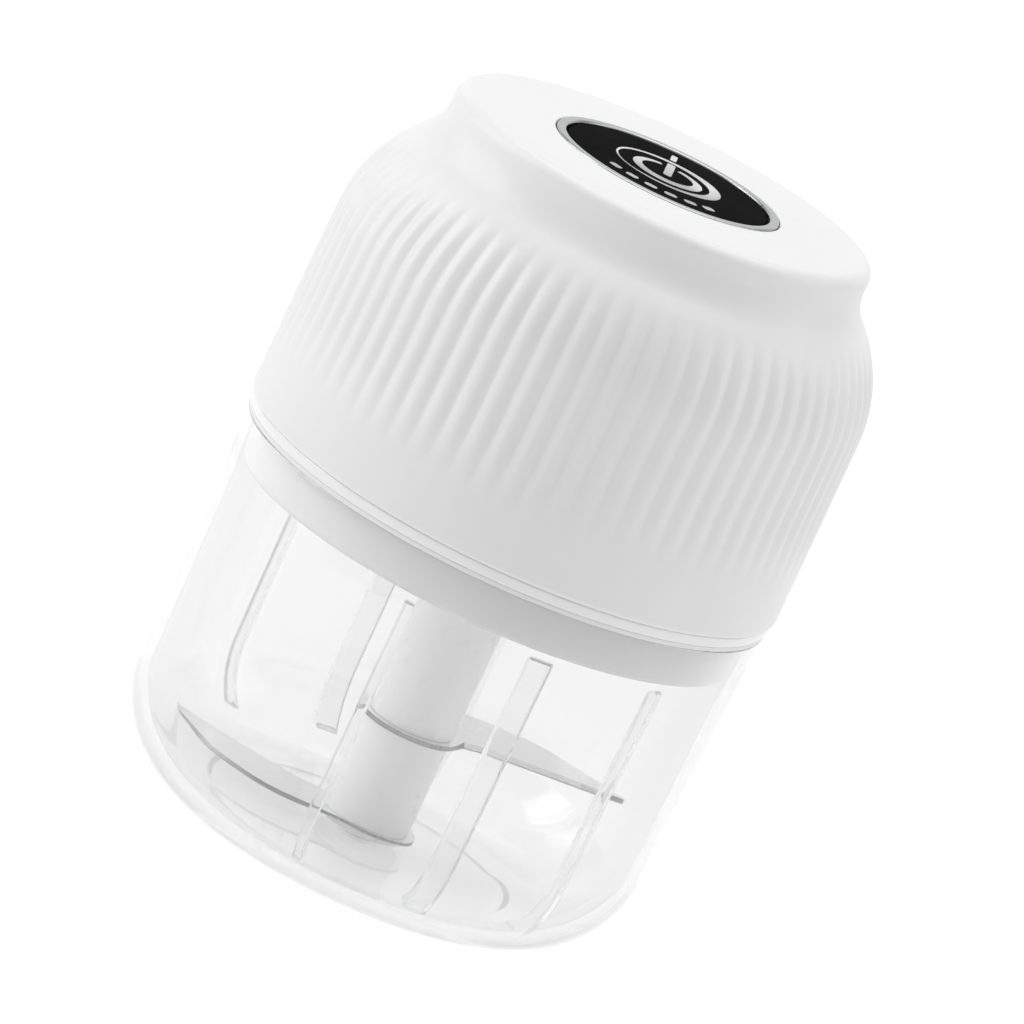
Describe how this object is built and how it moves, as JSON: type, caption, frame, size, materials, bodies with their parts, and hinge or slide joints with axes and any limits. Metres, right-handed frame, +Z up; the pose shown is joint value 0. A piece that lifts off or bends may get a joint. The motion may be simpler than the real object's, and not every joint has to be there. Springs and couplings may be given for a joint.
{
  "type": "mini food processor",
  "caption": "Cordless mini food processor: clear round cup with a turning blade unit under a fluted white motor head with a push button on top.",
  "frame": {"origin": "centre of the cup's base, on the surface that it stands on", "axes": "+Z up along the axis of the cup and the motor; the charging port faces +Y, so -Y is the front"},
  "size_m": [0.088, 0.088, 0.1182],
  "materials": {
    "clear_plastic": "clear, glossy moulded plastic",
    "white_plastic": "white, satin moulded plastic",
    "insert_plastic": "white, smooth moulded plastic",
    "hub_plastic": "white, smooth moulded plastic",
    "button_gloss": "black, high gloss, with pale printed marks",
    "silver_trim": "satin silver plating",
    "blade_steel": "polished stainless sheet",
    "steel": "machined or pressed steel",
    "brass": "machined",
    "gear_nylon": "natural nylon",
    "seal_rubber": "white silicone, matte",
    "dark_plastic": "black moulded plastic",
    "board_green": "green solder mask",
    "copper": "copper",
    "magnet": "sintered ferrite, matte",
    "battery_sleeve": "heat-shrink film",
    "red_wire": "insulation",
    "lens": "clear lens"
  },
  "bodies": {
    "cup": {"cup": "clear_plastic", "pivot_pin": "steel"},
    "blade_unit": {"hub_upper": "hub_plastic", "hub_lower": "hub_plastic", "hub_foot": "hub_plastic", "hub_core": "steel", "pivot_bush": "brass", "upper_blade": "blade_steel", "lower_blade": "blade_steel"},
    "head": {"housing_shell": "white_plastic", "button_ring": "silver_trim", "lid_insert": "insert_plastic", "cup_seal": "seal_rubber", "shaft_seal": "seal_rubber", "output_bushing": "brass", "gear_case": "dark_plastic", "ring_gear": "gear_nylon", "motor_plate": "steel", "motor_can": "steel", "motor_bushing": "brass", "motor_endcap": "dark_plastic", "magnet_1": "magnet", "magnet_2": "magnet", "brush_1": "copper", "brush_2": "copper", "battery_cell": "battery_sleeve", "battery_cradle": "insert_plastic", "control_board": "board_green", "tact_switch": "dark_plastic", "status_led": "lens", "button_spring": "steel", "charging_board": "board_green", "usb_socket": "steel", "insert_screw_1": "steel", "insert_screw_2": "steel", "insert_screw_3": "steel", "gearbox_screw_1": "steel", "gearbox_screw_2": "steel", "gearbox_screw_3": "steel", "motor_screw_1": "steel", "motor_screw_2": "steel", "board_screw_1": "steel", "board_screw_2": "steel", "motor_lead_red": "red_wire", "motor_lead_black": "dark_plastic", "battery_lead": "red_wire"},
    "button": {"power_button": "button_gloss"},
    "plunger": {"switch_plunger": "gear_nylon"},
    "output": {"planet_carrier": "steel", "output_shaft": "steel", "drive_dog": "gear_nylon"},
    "rotor": {"rotor_shaft": "steel", "armature": "copper", "commutator": "copper", "sun_gear": "brass"},
    "planet_1": {"planet_gear_1": "gear_nylon"},
    "planet_2": {"planet_gear_2": "gear_nylon"},
    "planet_3": {"planet_gear_3": "gear_nylon"},
    "port_cover": {"port_cover": "seal_rubber"}
  },
  "joints": [
    {"name": "head_lift", "type": "slide", "parent": "cup", "child": "head", "axis": [0, 0, 1], "range_m": [0, 0.06]},
    {"name": "blade_spin", "type": "hinge", "parent": "cup", "child": "blade_unit", "pos_m": [0, 0, 0.005], "axis": [0, 0, 1], "continuous": true},
    {"name": "output_spin", "type": "hinge", "parent": "head", "child": "output", "pos_m": [0, 0, 0.06], "axis": [0, 0, 1], "continuous": true},
    {"name": "rotor_spin", "type": "hinge", "parent": "head", "child": "rotor", "pos_m": [0, 0, 0.08], "axis": [0, 0, 1], "continuous": true},
    {"name": "planet_1_spin", "type": "hinge", "parent": "output", "child": "planet_1", "pos_m": [0, 0.00675, 0.0655], "axis": [0, 0, 1], "continuous": true},
    {"name": "planet_2_spin", "type": "hinge", "parent": "output", "child": "planet_2", "pos_m": [-0.00585, -0.00337, 0.0655], "axis": [0, 0, 1], "continuous": true},
    {"name": "planet_3_spin", "type": "hinge", "parent": "output", "child": "planet_3", "pos_m": [0.00585, -0.00337, 0.0655], "axis": [0, 0, 1], "continuous": true},
    {"name": "power_button", "type": "slide", "parent": "head", "child": "button", "axis": [0, 0, -1], "range_m": [0, 0.0008], "stiffness_N_per_m": 600, "springref_m": -0.0005, "deforming": ["button_spring"]},
    {"name": "switch_plunger", "type": "slide", "parent": "head", "child": "plunger", "axis": [0, 0, -1], "range_m": [0, 0.0008]},
    {"name": "port_cover_hinge", "type": "hinge", "parent": "head", "child": "port_cover", "pos_m": [0, 0.0436, 0.0733], "axis": [1, 0, 0], "range_deg": [0, 100]}
  ],
  "couplings": [
    {"joint": "output_spin", "follows": "blade_spin", "ratio": 1},
    {"joint": "rotor_spin", "follows": "blade_spin", "ratio": 4.5},
    {"joint": "planet_1_spin", "follows": "blade_spin", "ratio": -2.8},
    {"joint": "planet_2_spin", "follows": "blade_spin", "ratio": -2.8},
    {"joint": "planet_3_spin", "follows": "blade_spin", "ratio": -2.8},
    {"joint": "switch_plunger", "follows": "power_button", "ratio": 1}
  ]
}
